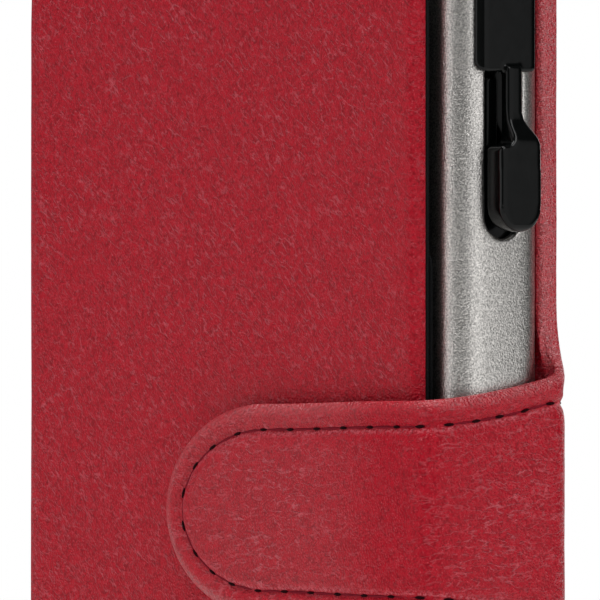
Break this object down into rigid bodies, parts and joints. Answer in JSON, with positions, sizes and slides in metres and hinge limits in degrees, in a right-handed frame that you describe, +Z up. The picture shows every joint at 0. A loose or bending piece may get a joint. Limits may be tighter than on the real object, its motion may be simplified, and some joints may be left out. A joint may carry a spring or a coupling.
{
  "type": "card protector wallet",
  "caption": "Book-style leather wallet round an aluminium card case, with a magnetic wrap-around strap and a side thumb slider that lifts the cards.",
  "frame": {"origin": "middle of the base: the wallet stands on its lower edges at Z = 0", "axes": "+Z up along the wallet's height; -Y out of the front cover, where the strap closes; +X towards the thumb slot in the case's narrow side, so the spine is at -X"},
  "size_m": [0.0764, 0.02, 0.102],
  "materials": {
    "leather": "fine-grained dyed red nappa leather with turned edges",
    "textile": "black woven lining",
    "board": "grey-brown bonded leather board",
    "foam": "thin foam sheet",
    "aluminium": "bead-blasted, clear anodised",
    "black_plastic": "polished black moulded ABS",
    "felt": "dark wool felt",
    "magnet": "flexible rubber-bonded magnet strip",
    "keeper_steel": "thin plated steel sheet"
  },
  "bodies": {
    "root": {"back_panel_leather": "leather", "back_panel_board": "board", "back_panel_lining": "leather", "case_bonding_pad": "foam", "aluminium_case": "aluminium", "case_end_cap": "black_plastic", "felt_strip_front": "felt", "felt_strip_back": "felt"},
    "spine": {"spine_leather": "leather", "spine_lining": "textile"},
    "front_cover": {"front_cover_leather": "leather", "front_cover_padding": "foam", "front_cover_board": "board", "magnet_keeper": "keeper_steel", "front_cover_lining": "textile", "card_pocket_upper": "textile", "card_pocket_lower": "textile"},
    "strap_side": {"strap_side_leather": "leather", "strap_side_lining": "leather"},
    "strap_tongue": {"strap_tongue_leather": "leather", "strap_tongue_lining": "leather", "strap_magnet": "magnet"},
    "slider": {"thumb_slider": "black_plastic", "ejector_rail": "black_plastic", "ejector_tray": "black_plastic"}
  },
  "joints": [
    {"name": "spine_fold", "type": "hinge", "parent": "root", "child": "spine", "pos_m": [-0.03628, 0.0081, 0.051], "axis": [0, 0, -1], "range_deg": [0, 90]},
    {"name": "cover_fold", "type": "hinge", "parent": "spine", "child": "front_cover", "pos_m": [-0.03628, -0.0065, 0.051], "axis": [0, 0, -1], "range_deg": [0, 90]},
    {"name": "strap_root_fold", "type": "hinge", "parent": "root", "child": "strap_side", "pos_m": [0.03564, 0.00882, 0.042], "axis": [0, 0, 1], "range_deg": [0, 90], "deforming": ["strap_side_leather", "strap_side_lining"]},
    {"name": "strap_tongue_fold", "type": "hinge", "parent": "strap_side", "child": "strap_tongue", "pos_m": [0.03564, -0.00882, 0.042], "axis": [0, 0, 1], "range_deg": [0, 90], "deforming": ["strap_tongue_leather", "strap_tongue_lining", "strap_magnet"]},
    {"name": "slider_lift", "type": "slide", "parent": "root", "child": "slider", "axis": [0, 0, 1], "range_m": [0, 0.018]}
  ],
  "couplings": [
    {"joint": "cover_fold", "follows": "spine_fold", "ratio": 1},
    {"joint": "strap_tongue_fold", "follows": "strap_root_fold", "ratio": 1}
  ]
}
